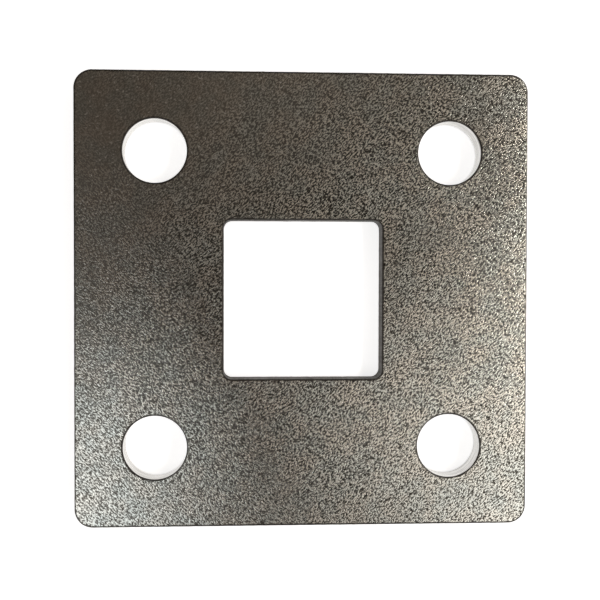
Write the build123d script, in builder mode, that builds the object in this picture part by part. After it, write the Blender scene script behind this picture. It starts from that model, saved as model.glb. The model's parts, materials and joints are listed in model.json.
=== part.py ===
from build123d import *

import os

# Square cover plate of flat steel, lying on its underside. The origin is the middle
# of the underside, with +Z up through the plate. All sizes are in millimetres.

# Outline of the plate
PLATE_LENGTH = 100.0
PLATE_WIDTH = 100.0
PLATE_THICKNESS = 6.0
CORNER_RADIUS = 4.0

# Square opening in the middle, for a tube or post of this size
OPENING_LENGTH = 35.0
OPENING_WIDTH = 35.0
OPENING_CORNER_RADIUS = 1.8

# Four bolt holes, one in each corner: their bore, and how far their centres stand
# in from the two edges beside them
HOLE_DIAMETER = 14.0
HOLE_EDGE_DISTANCE = 17.5

# Width of the bevel that deburring leaves along every rim of the two faces
EDGE_BREAK = 0.3

# Spacing of the bolt holes, from the outline and their edge distance
hole_spacing_x = PLATE_LENGTH - 2 * HOLE_EDGE_DISTANCE
hole_spacing_y = PLATE_WIDTH - 2 * HOLE_EDGE_DISTANCE

with BuildPart() as cover_plate:
    # The blank: plate cut square, with its four corners rounded
    with BuildSketch(Plane.XY) as blank:
        RectangleRounded(PLATE_LENGTH, PLATE_WIDTH, CORNER_RADIUS)
    extrude(amount=PLATE_THICKNESS)

    # The square opening, cut straight through
    with BuildSketch(Plane.XY) as opening:
        RectangleRounded(OPENING_LENGTH, OPENING_WIDTH, OPENING_CORNER_RADIUS)
    extrude(amount=PLATE_THICKNESS, mode=Mode.SUBTRACT)

    # The bolt holes, cut straight through from the top face
    with Locations(Plane.XY.offset(PLATE_THICKNESS)):
        with GridLocations(hole_spacing_x, hole_spacing_y, 2, 2):
            Hole(radius=HOLE_DIAMETER / 2)

    # Every rim of the two faces, outside and inside, has its sharp edge broken
    flat_faces = cover_plate.faces().filter_by(Axis.Z)
    chamfer(flat_faces.edges(), length=EDGE_BREAK)

cover_plate.part.label = "cover_plate"

os.makedirs("parts", exist_ok=True)
export_step(cover_plate.part, "parts/cover_plate.step")
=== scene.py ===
import json
import math

import bpy
import numpy as np
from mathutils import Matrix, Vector, geometry, noise


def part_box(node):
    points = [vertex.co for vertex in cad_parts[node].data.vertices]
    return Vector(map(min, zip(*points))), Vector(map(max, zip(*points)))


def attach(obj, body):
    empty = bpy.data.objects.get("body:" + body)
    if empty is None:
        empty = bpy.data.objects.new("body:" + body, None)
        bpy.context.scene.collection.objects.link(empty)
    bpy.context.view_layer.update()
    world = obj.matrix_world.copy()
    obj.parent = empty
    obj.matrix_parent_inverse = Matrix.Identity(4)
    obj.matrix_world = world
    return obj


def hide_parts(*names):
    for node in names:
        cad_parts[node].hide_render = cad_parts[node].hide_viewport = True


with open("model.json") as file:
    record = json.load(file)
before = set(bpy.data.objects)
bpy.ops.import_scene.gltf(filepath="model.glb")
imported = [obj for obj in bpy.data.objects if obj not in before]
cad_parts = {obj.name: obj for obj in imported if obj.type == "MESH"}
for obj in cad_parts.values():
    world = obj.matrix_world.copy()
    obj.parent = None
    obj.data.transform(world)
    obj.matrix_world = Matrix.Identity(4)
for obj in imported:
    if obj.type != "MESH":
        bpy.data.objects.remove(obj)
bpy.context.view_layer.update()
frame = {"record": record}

# ---------------------------------------------------------------- sizes, in metres
NODE = "cover_plate"
MM = 0.001

low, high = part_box(NODE)
LENGTH = high[0] - low[0]
WIDTH = high[1] - low[1]
THICKNESS = high[2] - low[2]
CORNER_RADIUS = 4.0 * MM
OPENING_SIDE = 35.0 * MM
OPENING_CORNER_RADIUS = 1.8 * MM

mounts = {mount["name"]: mount for mount in frame["record"]["mounts"]}
bolt_dims = mounts["bolt_holes"]["dims"]
HOLE_RADIUS = bolt_dims["hole_r_mm"] * MM
HOLE_X = bolt_dims["spacing_x_mm"] * MM / 2
HOLE_Y = bolt_dims["spacing_y_mm"] * MM / 2

# The rim between a face and a cut wall: a worn round, uneven from place to place
RIM_RADIUS = 0.24 * MM
RIM_UNEVEN = 0.07 * MM
RIM_LUMP = 1.6 * MM
RIM_STEPS = 4

# The walls: upright drag lines left by the beam on the flame-cut ones, and much shallower lines in the
# drilled holes. They trail sideways towards the underside, and are stretched this many times upright.
WALL_ROWS = 8
DRAG_DEPTH = 0.035 * MM
BORE_DEPTH = 0.006 * MM
DRAG_PITCH = 0.75 * MM
DRAG_TRAIL = 1.0 * MM
DRAG_STRETCH = 20.0

# The two rolled faces: a very shallow waviness
WAVE_DEPTH = 0.03 * MM
WAVE_LENGTH = 9.0 * MM

# Spacing of the mesh's points. A support ring lies on each face beside each rim.
RIM_POINT_STEP = 0.24 * MM
SUPPORT_RING = 0.32 * MM
TOP_POINT_STEP = 0.62 * MM
UNDER_POINT_STEP = 1.1 * MM
POINT_SHUFFLE = 0.18
RING_CLEARANCE = 0.6


# ---------------------------------------------------------------- outlines
def rounded_rectangle(length, width, radius, step):
    """Evenly spaced points round a rounded rectangle, anticlockwise, and the outward normal at each."""
    half_x, half_y = length / 2 - radius, width / 2 - radius
    arc = radius * math.pi / 2
    # each side's start, direction, length and outward normal, then the corner after it
    sides = [
        ((half_x + radius, -half_y), (0, 1), 2 * half_y, (half_x, half_y)),
        ((half_x, half_y + radius), (-1, 0), 2 * half_x, (-half_x, half_y)),
        ((-half_x - radius, half_y), (0, -1), 2 * half_y, (-half_x, -half_y)),
        ((-half_x, -half_y - radius), (1, 0), 2 * half_x, (half_x, -half_y)),
    ]
    around = 4 * (half_x + half_y) + 4 * arc
    count = round(around / step)
    points, normals = [], []
    for i in range(count):
        run = around * i / count
        for start, along, side, corner in sides:
            if run < side:
                normals.append((along[1], -along[0]))
                points.append((start[0] + along[0] * run, start[1] + along[1] * run))
                break
            run -= side
            if run < arc:
                turn = run / radius
                out = Vector((along[1], -along[0]))
                normal = out * math.cos(turn) + Vector(along) * math.sin(turn)
                normals.append(tuple(normal))
                points.append((corner[0] + radius * normal.x, corner[1] + radius * normal.y))
                break
            run -= arc
    return np.array(points), np.array(normals)


def circle(centre, radius, step):
    """Evenly spaced points round a circle, anticlockwise, and the outward normal at each."""
    count = round(2 * math.pi * radius / step)
    turn = np.arange(count) * 2 * math.pi / count
    normals = np.stack([np.cos(turn), np.sin(turn)], axis=1)
    return np.array(centre) + radius * normals, normals


HOLE_CENTRES = [(sx * HOLE_X, sy * HOLE_Y) for sx in (-1, 1) for sy in (-1, 1)]


def plate_outlines(step):
    """Each edge loop of the plate, with normals that point into the steel."""
    points, normals = rounded_rectangle(LENGTH, WIDTH, CORNER_RADIUS, step)
    loops = [(points, -normals)]
    loops.append(rounded_rectangle(OPENING_SIDE, OPENING_SIDE, OPENING_CORNER_RADIUS, step))
    loops += [circle(centre, HOLE_RADIUS, step) for centre in HOLE_CENTRES]
    return loops


def box_distance(points, length, width, radius):
    """How far each point lies outside a rounded rectangle; negative inside it."""
    reach = np.abs(points) - np.array([length / 2 - radius, width / 2 - radius])
    outside = np.linalg.norm(np.maximum(reach, 0), axis=1)
    return outside + np.minimum(reach.max(axis=1), 0) - radius


def depth_in_steel(points):
    """How far each point lies inside the plate's steel, from its nearest edge; negative in an opening."""
    depth = -box_distance(points, LENGTH, WIDTH, CORNER_RADIUS)
    depth = np.minimum(depth, box_distance(points, OPENING_SIDE, OPENING_SIDE, OPENING_CORNER_RADIUS))
    for centre in HOLE_CENTRES:
        depth = np.minimum(depth, np.linalg.norm(points - np.array(centre), axis=1) - HOLE_RADIUS)
    return depth


# ---------------------------------------------------------------- relief
def lumps(points, size, seed):
    """Smooth noise from 0 to 1 at each 3-D point, with lumps about as wide as size."""
    shift = Vector((17.3 * seed, -9.1 * seed, 4.7 * seed))
    values = [noise.noise(Vector(point) / size + shift) for point in points]
    return np.clip(np.array(values) * 0.75 + 0.5, 0, 1)


def edge_rings(points, normals, loop_seed):
    """The rings of one edge loop, from the top face down to the underside, and how near each is to the
    cut: 0 on the faces, 1 on the wall."""
    flat = np.column_stack([points, np.zeros(len(points))])
    rim = RIM_RADIUS + RIM_UNEVEN * (2 * lumps(flat, RIM_LUMP, loop_seed) - 1)
    rim_under = RIM_RADIUS + RIM_UNEVEN * (2 * lumps(flat, RIM_LUMP, loop_seed + 0.5) - 1)
    rings, cut = [], []

    def ring(inset, height, share):
        rings.append(np.column_stack([points + normals * inset[:, None], height]))
        cut.append(share)

    top = np.full(len(points), THICKNESS)
    base = np.zeros(len(points))
    ring(rim + SUPPORT_RING, top, 0.0)
    for k in range(RIM_STEPS + 1):
        turn = math.pi / 2 * (1 - k / RIM_STEPS)
        ring(rim * (1 - math.cos(turn)), top - rim * (1 - math.sin(turn)), 0.5 + 0.5 * k / RIM_STEPS)
    for k in range(1, WALL_ROWS):
        height = (top - rim) * (1 - k / WALL_ROWS) + rim_under * (k / WALL_ROWS)
        ring(base, height, 1.0)
    for k in range(RIM_STEPS + 1):
        turn = math.pi / 2 * (k / RIM_STEPS)
        ring(rim_under * (1 - math.cos(turn)), rim_under * (1 - math.sin(turn)), 1 - 0.5 * k / RIM_STEPS)
    ring(rim_under + SUPPORT_RING, base, 0.0)
    return rings, cut


def band_finishes(drilled):
    """The finish of each band between two rings, from the top face down to the underside."""
    wall = BORE if drilled else EDGE
    return [SKIN] + [EDGE] * RIM_STEPS + [wall] * WALL_ROWS + [EDGE] * RIM_STEPS + [SKIN]


def carve_walls(rings, normals, cut, depth, loop_seed):
    """Presses drag lines into the wall rings, fading out over the rims."""
    for ring, share in zip(rings, cut):
        if share == 0:
            continue
        press = depth * max(0.0, 2 * share - 1)
        trail = DRAG_TRAIL * (1 - ring[:, 2] / THICKNESS) ** 2
        along = np.column_stack([-normals[:, 1], normals[:, 0]])
        probe = np.column_stack([ring[:, :2] + along * trail[:, None], ring[:, 2] / DRAG_STRETCH])
        line = press * lumps(probe, DRAG_PITCH, loop_seed + 3)
        ring[:, :2] += normals * line[:, None]


def wave(points, seed):
    """How far the rolled face dips at each point."""
    flat = np.column_stack([points, np.zeros(len(points))])
    return WAVE_DEPTH * lumps(flat, WAVE_LENGTH, seed)


# ---------------------------------------------------------------- mesh
# The plate's materials, by their place in its list
SKIN, EDGE, BORE = 0, 1, 2
TOP_SEED, UNDER_SEED = 5, 6
TOP_WAVE_SEED, UNDER_WAVE_SEED = 11, 12


def fill_face(loops, step, seed):
    """Triangles between the edge rings of one face, with inner points about step apart.
    Returns all the points, those of the rings first, and the triangles."""
    ring_points = np.concatenate(loops)
    rows = int(WIDTH / (step * math.sqrt(3) / 2))
    columns = int(LENGTH / step)
    i, j = np.meshgrid(np.arange(columns + 1), np.arange(rows + 1))
    inner = np.column_stack([
        (i.ravel() + 0.5 * (j.ravel() % 2) - columns / 2) * step,
        (j.ravel() - rows / 2) * step * math.sqrt(3) / 2,
    ])
    shuffle = np.random.default_rng(seed)
    inner += shuffle.uniform(-POINT_SHUFFLE, POINT_SHUFFLE, inner.shape) * step
    inner = inner[depth_in_steel(inner) > RIM_RADIUS + SUPPORT_RING + RING_CLEARANCE * step]
    points = np.concatenate([ring_points, inner])
    edges, start = [], 0
    for loop in loops:
        count = len(loop)
        edges += [(start + k, start + (k + 1) % count) for k in range(count)]
        start += count
    scaled = [Vector(point) for point in points / LENGTH]
    made, _, faces, origins, _, _ = geometry.delaunay_2d_cdt(scaled, edges, [], 0, 1e-9)
    source = np.array([origin[0] for origin in origins])
    triangles = source[np.array(faces)]
    loop_of = np.repeat(np.arange(len(loops)), [len(loop) for loop in loops])
    loop_of = np.concatenate([loop_of, np.full(len(inner), -1)])
    return points, triangles[in_steel(points, triangles, loop_of)]


def in_steel(points, triangles, loop_of):
    """Which triangles cover steel. Only one whose corners all lie on one loop can be on its far side.
    Its corners, taken in the loop's order, turn left inside the loop and right outside it."""
    first, second, third = np.sort(triangles, axis=1).T
    one, two = points[second] - points[first], points[third] - points[first]
    inside = one[:, 0] * two[:, 1] - one[:, 1] * two[:, 0] > 0
    same_loop = (loop_of[first] == loop_of[second]) & (loop_of[first] == loop_of[third])
    same_loop &= loop_of[first] >= 0
    on_outline = loop_of[first] == 0
    return ~same_loop | (inside == on_outline)


def add_wave(place):
    """Dips both faces into the steel in shallow waves, fading out over the rims."""
    from_face = np.minimum(place[:, 2], THICKNESS - place[:, 2])
    near = np.clip(1 - from_face / (2 * RIM_RADIUS), 0, 1)
    upper = place[:, 2] > THICKNESS / 2
    top_dip, under_dip = wave(place[:, :2], TOP_WAVE_SEED), wave(place[:, :2], UNDER_WAVE_SEED)
    place[:, 2] += near * np.where(upper, -top_dip, under_dip)


def build_plate():
    """The plate's visible mesh: waved faces, uneven rims and dragged cut walls, as one closed surface."""
    vertices, cut_share, faces, finish = [], [], [], []
    top_loops, under_loops, top_index, under_index = [], [], [], []
    base = 0
    for seed, (points, normals) in enumerate(plate_outlines(RIM_POINT_STEP), start=1):
        rings, cut = edge_rings(points, normals, seed)
        outer = seed == 1
        drilled = seed > 2
        carve_walls(rings, normals, cut, BORE_DEPTH if drilled else DRAG_DEPTH, seed)
        count = len(points)
        for row, band in enumerate(band_finishes(drilled)):
            finish += [band] * count
            for k in range(count):
                a = base + row * count + k
                b = base + row * count + (k + 1) % count
                quad = (a, a + count, b + count, b)
                faces.append(quad if outer else quad[::-1])
        vertices += rings
        cut_share += [np.full(count, share) for share in cut]
        top_loops.append(rings[0][:, :2])
        top_index.append(base + np.arange(count))
        under_loops.append(rings[-1][:, :2])
        under_index.append(base + (len(rings) - 1) * count + np.arange(count))
        base += count * len(rings)

    for loops, index, step, height, up in (
        (top_loops, top_index, TOP_POINT_STEP, THICKNESS, True),
        (under_loops, under_index, UNDER_POINT_STEP, 0.0, False),
    ):
        index = np.concatenate(index)
        points, triangles = fill_face(loops, step, TOP_SEED if up else UNDER_SEED)
        inner = points[len(index):]
        vertices.append(np.column_stack([inner, np.full(len(inner), height)]))
        cut_share.append(np.zeros(len(inner)))
        lookup = np.concatenate([index, base + np.arange(len(inner))])
        triangles = lookup[triangles]
        faces += [tuple(t) if up else tuple(t[::-1]) for t in triangles.tolist()]
        finish += [SKIN] * len(triangles)
        base += len(inner)

    place = np.concatenate(vertices)
    add_wave(place)
    mesh = bpy.data.meshes.new("plate_steel")
    mesh.from_pydata(place.tolist(), [], faces)
    for material in (rolled_skin(), cut_edge(), drilled_bore()):
        mesh.materials.append(material)
    mesh.polygons.foreach_set("material_index", finish)
    mesh.update()
    attribute = mesh.attributes.new("near_edge", "FLOAT", "POINT")
    attribute.data.foreach_set("value", np.concatenate(cut_share))
    mesh.shade_smooth()
    plate = bpy.data.objects.new("plate_steel", mesh)
    bpy.context.scene.collection.objects.link(plate)
    return plate


# ---------------------------------------------------------------- steel
class Nodes:
    """Short calls for making and joining shader nodes."""

    def __init__(self, tree):
        self.tree = tree

    def add(self, kind, **settings):
        node = self.tree.nodes.new(kind)
        for name, value in settings.items():
            setattr(node, name, value)
        return node

    def put(self, socket, value):
        if isinstance(value, bpy.types.NodeSocket):
            self.tree.links.new(value, socket)
        else:
            socket.default_value = value

    def math(self, operation, a, b=0.0, clamp=False):
        node = self.add("ShaderNodeMath", operation=operation, use_clamp=clamp)
        self.put(node.inputs[0], a)
        self.put(node.inputs[1], b)
        return node.outputs[0]

    def dot(self, vector, other):
        node = self.add("ShaderNodeVectorMath", operation="DOT_PRODUCT")
        self.put(node.inputs[0], vector)
        self.put(node.inputs[1], other)
        return node.outputs["Value"]

    def scaled(self, vector, factor):
        node = self.add("ShaderNodeVectorMath", operation="MULTIPLY")
        self.put(node.inputs[0], vector)
        self.put(node.inputs[1], factor)
        return node.outputs[0]

    def turned(self, vector, degrees):
        """The vector, turned about the upright axis."""
        node = self.add("ShaderNodeVectorRotate", rotation_type="Z_AXIS")
        self.put(node.inputs["Vector"], vector)
        self.put(node.inputs["Angle"], math.radians(degrees))
        return node.outputs["Vector"]

    def noise(self, vector, scale, detail=2.0, roughness=0.5, distortion=0.0, colour=False):
        node = self.add("ShaderNodeTexNoise")
        self.put(node.inputs["Vector"], vector)
        self.put(node.inputs["Scale"], scale)
        self.put(node.inputs["Detail"], detail)
        self.put(node.inputs["Roughness"], roughness)
        self.put(node.inputs["Distortion"], distortion)
        return node.outputs["Color" if colour else "Fac"]

    def remap(self, value, low, high, to_low=0.0, to_high=1.0):
        """The value, eased from one range to another and held at its ends."""
        node = self.add("ShaderNodeMapRange", interpolation_type="SMOOTHSTEP")
        self.put(node.inputs["Value"], value)
        self.put(node.inputs["From Min"], low)
        self.put(node.inputs["From Max"], high)
        self.put(node.inputs["To Min"], to_low)
        self.put(node.inputs["To Max"], to_high)
        return node.outputs["Result"]

    def mix(self, share, a, b):
        node = self.add("ShaderNodeMix", data_type="RGBA")
        self.put(node.inputs["Factor"], share)
        self.put(node.inputs["A"], a)
        self.put(node.inputs["B"], b)
        return node.outputs["Result"]

    def multiply(self, a, b):
        node = self.add("ShaderNodeMix", data_type="RGBA", blend_type="MULTIPLY")
        self.put(node.inputs["Factor"], 1.0)
        self.put(node.inputs["A"], a)
        self.put(node.inputs["B"], b)
        return node.outputs["Result"]

    def bump(self, height, distance):
        node = self.add("ShaderNodeBump")
        self.put(node.inputs["Strength"], 1.0)
        self.put(node.inputs["Distance"], distance)
        self.put(node.inputs["Height"], height)
        return node.outputs["Normal"]

    def warped(self, vector, scale, reach):
        """The vector, pushed about by up to half of reach, with swirls about 1 / scale wide."""
        swirl = self.noise(vector, scale, 1.0, colour=True)
        shift = self.add("ShaderNodeVectorMath", operation="MULTIPLY_ADD")
        self.put(shift.inputs[0], swirl)
        self.put(shift.inputs[1], (reach, reach, reach))
        self.put(shift.inputs[2], vector)
        return shift.outputs[0]


def new_material(name):
    """A material with a Principled shader, and the short calls to work on it."""
    material = bpy.data.materials.new(name)
    material.use_nodes = True
    nodes = Nodes(material.node_tree)
    return material, material.node_tree.nodes["Principled BSDF"], nodes


GRAIN_SCALE = 3350.0
GRAIN_SQUASH = 0.56
GRAIN_DEPTH = 0.037 * MM
# colour of the painted shade line beside each rim
RIM_SHADE = (0.05, 0.045, 0.038, 1.0)
RUST_PIT = (0.060, 0.050, 0.042, 1.0)
# colour of the painted glints
PAINTED_GLINT = (0.80, 0.81, 0.79, 1.0)


def steel_grain(n, place, side):
    """A fine grain, drawn out a little towards the back right over most of the plate, and towards the
    back left at its front left, where side is low."""
    swirled = n.warped(place, 420.0, 0.5 * MM)
    drawn = []
    for degrees in (45.0, -45.0):
        along = n.scaled(n.turned(swirled, degrees), (GRAIN_SQUASH, 1.0, 1.0))
        drawn.append(n.noise(along, GRAIN_SCALE, 1.5, 0.6, 0.2))
    return n.mix(n.remap(side, -0.9, -0.5), *drawn)


def rolled_skin():
    """The two rolled faces: bare steel with a fine pitted grain, cloudy in warm and olive greys, with
    painted light in the colour: painted highlights and shade in the grain, lighter specks towards the front
    right, painted glints and a painted shade line beside each rim.
    """
    material, shader, n = new_material("rolled_skin")
    place = n.add("ShaderNodeTexCoord").outputs["Object"]
    side = n.dot(place, (28.0, 14.0, 0.0))
    grain = steel_grain(n, place, side)
    mottle = n.noise(place, 150.0, 3.0, 0.6)
    patch = n.noise(place, 34.0, 2.0, 0.5)

    # painted light: the grain's contrast grows towards the front right, where the light falls, and the back
    # left stays flat and plain, with patch noise breaking up the border
    lit_slant = n.dot(place, (7.0, -9.0, 0.0))
    lit_drift = n.math("ADD", lit_slant, n.math("MULTIPLY", n.math("SUBTRACT", patch, 0.5), 0.5))
    lit_speckle = n.remap(lit_drift, -0.65, -0.05, 0.3, 1.0)
    lit_speckle = n.math("MULTIPLY", lit_speckle, n.remap(side, -1.1, -0.4, 0.84, 1.0))
    # painted highlight: the specks are painted lighter where the light falls, towards the front right
    lit_lightening = n.remap(lit_drift, -0.5, 0.6, -0.012, 0.028)
    speck = n.remap(n.math("ADD", grain, lit_lightening), 0.41, 0.61)

    warm = (0.386, 0.368, 0.326, 1.0)
    cool = (0.354, 0.360, 0.330, 1.0)
    middle = n.mix(n.remap(mottle, 0.35, 0.65), warm, cool)
    # the grain is partly the steel's own speckle and partly painted light: painted shade darkens its pits
    # and painted highlights lighten its crests
    pit_oxide_and_shade = n.multiply(middle, (0.09, 0.0792, 0.0666, 1.0))
    crest_steel_and_highlight = n.multiply(middle, (1.95, 1.989, 2.0475, 1.0))
    colour = n.mix(lit_speckle, middle, n.mix(speck, pit_oxide_and_shade, crest_steel_and_highlight))

    # painted glints: sparse bright points painted into the colour, mostly at the back left
    point = n.remap(n.noise(place, 1900.0, 0.0), 0.70, 0.80, 0.0, 0.6)
    point = n.math("MULTIPLY", point, n.remap(lit_drift, -0.4, 0.1, 1.0, 0.1))
    colour = n.mix(point, colour, PAINTED_GLINT)

    # wider rust pits gather in patches, more of them towards the front right, where the painted light's
    # mask is high
    cluster = n.math("MULTIPLY", n.remap(mottle, 0.35, 0.6), lit_speckle)
    hollow = n.noise(n.warped(place, 900.0, 0.6 * MM), 1150.0, 2.0, 0.6)
    hollow = n.math("MULTIPLY", n.remap(hollow, 0.58, 0.68, 0.0, 0.75), cluster)
    colour = n.mix(hollow, colour, RUST_PIT)

    # painted shade: a dark, broken line beside each rim
    edge = n.add("ShaderNodeAttribute", attribute_name="near_edge").outputs["Fac"]
    rim_shade_line = n.remap(n.math("SUBTRACT", edge, n.math("MULTIPLY", grain, 0.5)), -0.2, 0.2, 0.0, 0.85)
    n.put(shader.inputs["Base Color"], n.mix(rim_shade_line, colour, RIM_SHADE))
    n.put(shader.inputs["Metallic"], 1.0)
    n.put(shader.inputs["Roughness"], n.remap(patch, 0.3, 0.7, 0.235, 0.265))
    n.put(shader.inputs["Normal"], n.bump(grain, GRAIN_DEPTH))
    return material


def cut_edge():
    """The flame-cut walls and every rim: dark heat scale on upright lines, with painted shade on the rims.
    """
    material, shader, n = new_material("cut_edge")
    place = n.add("ShaderNodeTexCoord").outputs["Object"]
    split = n.add("ShaderNodeSeparateXYZ")
    n.put(split.inputs[0], place)
    # the lines are fine and straight under the top face, and broken further down
    swayed = n.warped(place, 260.0, 0.5 * MM)
    lines = n.noise(n.scaled(swayed, (1.0, 1.0, 0.03)), 3600.0, 2.0, 0.55)
    broken = n.noise(n.scaled(swayed, (1.0, 1.0, 0.3)), 1500.0, 3.0, 0.6)
    depth = n.remap(split.outputs["Z"], 0.15 * THICKNESS, 0.75 * THICKNESS, 0.55, 0.1)
    groove = n.mix(depth, lines, broken)
    cloud = n.noise(place, 160.0, 3.0, 0.6)
    tone = n.math("ADD", n.math("MULTIPLY", groove, 0.8), n.math("MULTIPLY", cloud, 0.2))
    tone = n.remap(tone, 0.40, 0.62)
    scale = n.mix(tone, (0.075, 0.071, 0.067, 1.0), (0.165, 0.158, 0.148, 1.0))
    # painted shade: the rims are painted darker than the walls
    edge = n.add("ShaderNodeAttribute", attribute_name="near_edge").outputs["Fac"]
    rim_shade_share = n.remap(edge, 0.7, 1.0, 0.8, 0.0)
    n.put(shader.inputs["Base Color"], n.mix(rim_shade_share, scale, (0.026, 0.023, 0.020, 1.0)))
    n.put(shader.inputs["Metallic"], 0.75)
    n.put(shader.inputs["Roughness"], n.remap(cloud, 0.3, 0.7, 0.34, 0.5))
    n.put(shader.inputs["Specular IOR Level"], 0.2)
    n.put(shader.inputs["Specular Tint"], (0.35, 0.34, 0.33, 1.0))
    n.put(shader.inputs["Normal"], n.bump(groove, 0.06 * MM))
    return material


def drilled_bore():
    """The drilled hole walls: bright steel with fine rings round the bore."""
    material, shader, n = new_material("drilled_bore")
    place = n.add("ShaderNodeTexCoord").outputs["Object"]
    rings = n.noise(n.scaled(place, (0.04, 0.04, 1.0)), 5200.0, 3.0, 0.65)
    feed = n.noise(n.scaled(place, (0.05, 0.05, 1.0)), 1900.0, 2.0, 0.6)
    tone = n.remap(n.math("ADD", n.math("MULTIPLY", rings, 0.5), n.math("MULTIPLY", feed, 0.5)), 0.42, 0.58)
    n.put(shader.inputs["Base Color"], n.mix(tone, (0.44, 0.43, 0.41, 1.0), (0.80, 0.79, 0.77, 1.0)))
    n.put(shader.inputs["Metallic"], 1.0)
    n.put(shader.inputs["Roughness"], n.remap(rings, 0.35, 0.65, 0.24, 0.34))
    n.put(shader.inputs["Normal"], n.bump(rings, 0.006 * MM))
    return material


# ---------------------------------------------------------------- floor, world, lamps, camera
FLOOR_REACH = 12.0
FLOOR_GREY = 0.8
FLOOR_GLOW = 0.74


def make_floor():
    """A plain white floor. The camera and mirror-like surfaces see it whiter than the lamps make it."""
    mesh = bpy.data.meshes.new("floor")
    corners = [(-FLOOR_REACH, -FLOOR_REACH, 0), (FLOOR_REACH, -FLOOR_REACH, 0),
               (FLOOR_REACH, FLOOR_REACH, 0), (-FLOOR_REACH, FLOOR_REACH, 0)]
    mesh.from_pydata(corners, [], [(0, 1, 2, 3)])
    floor = bpy.data.objects.new("floor", mesh)
    bpy.context.scene.collection.objects.link(floor)
    material = bpy.data.materials.new("floor_white")
    material.use_nodes = True
    tree = material.node_tree
    tree.nodes.clear()
    n = Nodes(tree)
    diffuse = n.add("ShaderNodeBsdfDiffuse")
    n.put(diffuse.inputs["Color"], (FLOOR_GREY, FLOOR_GREY, FLOOR_GREY, 1.0))
    glow = n.add("ShaderNodeEmission")
    path = n.add("ShaderNodeLightPath").outputs
    seen = n.math("ADD", path["Is Camera Ray"], path["Is Glossy Ray"])
    seen = n.math("ADD", seen, path["Is Transmission Ray"], clamp=True)
    n.put(glow.inputs["Strength"], n.math("MULTIPLY", seen, FLOOR_GLOW))
    both = n.add("ShaderNodeAddShader")
    n.put(both.inputs[0], diffuse.outputs[0])
    n.put(both.inputs[1], glow.outputs[0])
    out = n.add("ShaderNodeOutputMaterial")
    n.put(out.inputs["Surface"], both.outputs[0])
    mesh.materials.append(material)


def make_world():
    """Pale near the horizon and darker overhead, like a studio with a dark ceiling."""
    world = bpy.data.worlds.new("studio")
    bpy.context.scene.world = world
    world.use_nodes = True
    tree = world.node_tree
    n = Nodes(tree)
    direction = n.add("ShaderNodeTexCoord").outputs["Generated"]
    split = n.add("ShaderNodeSeparateXYZ")
    n.put(split.inputs[0], direction)
    lift = n.remap(split.outputs["Z"], 0.25, 0.75, 1.0, 0.098)
    tint = n.mix(n.remap(split.outputs["Z"], 0.4, 0.8), (1.0, 1.0, 1.0, 1.0), (1.27, 1.0, 0.80, 1.0))
    n.put(tree.nodes["Background"].inputs["Color"], tint)
    n.put(tree.nodes["Background"].inputs["Strength"], lift)


# Soft panels that face straight down: name, place, size, power in watts and colour. The window side
# is at the right, and weaker panels stand at the front.
LAMP_HEIGHT = 0.5
LAMPS = [
    ("window", (0.365, 0.012, LAMP_HEIGHT), (0.12, 0.32), 1.55, (1.0, 0.95, 0.88)),
    ("front_right", (0.24, -0.24, LAMP_HEIGHT), (0.14, 0.14), 0.145, (0.97, 1.0, 1.0)),
    ("front", (0.18, -0.12, LAMP_HEIGHT), (0.22, 0.12), 0.08, (1.0, 0.94, 0.88)),
    ("front_left", (-0.20, -0.19, LAMP_HEIGHT), (0.24, 0.22), 0.35, (0.93, 0.97, 1.0)),
    ("ceiling", (0.11, 0.11, LAMP_HEIGHT), (0.26, 0.24), 0.018, (1.0, 0.93, 0.82)),
]


def make_lamps():
    for name, place, size, power, colour in LAMPS:
        lamp = bpy.data.lights.new(name, "AREA")
        lamp.shape = "RECTANGLE"
        lamp.size, lamp.size_y = size
        lamp.energy = power
        lamp.color = colour
        panel = bpy.data.objects.new(name, lamp)
        panel.location = place
        panel.visible_camera = False
        bpy.context.scene.collection.objects.link(panel)


# Place in metres, turn in degrees, lens and sensor in millimetres
CAMERA_PLACE = (-0.01322, 0.00491, 0.22592)
CAMERA_TURN = (-1.2987, -3.2606, 0.1142)
CAMERA_LENS = 60.0
CAMERA_SENSOR = 36.0
CAMERA_NEAR = 0.01


def make_camera():
    data = bpy.data.cameras.new("camera")
    data.lens = CAMERA_LENS
    data.sensor_width = CAMERA_SENSOR
    data.clip_start = CAMERA_NEAR
    camera = bpy.data.objects.new("camera", data)
    camera.location = CAMERA_PLACE
    camera.rotation_euler = [math.radians(a) for a in CAMERA_TURN]
    bpy.context.scene.collection.objects.link(camera)
    bpy.context.scene.camera = camera


plate = build_plate()
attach(plate, "root")
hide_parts(NODE)

make_floor()
make_world()
make_lamps()
make_camera()
bpy.context.scene.view_settings.view_transform = "Standard"
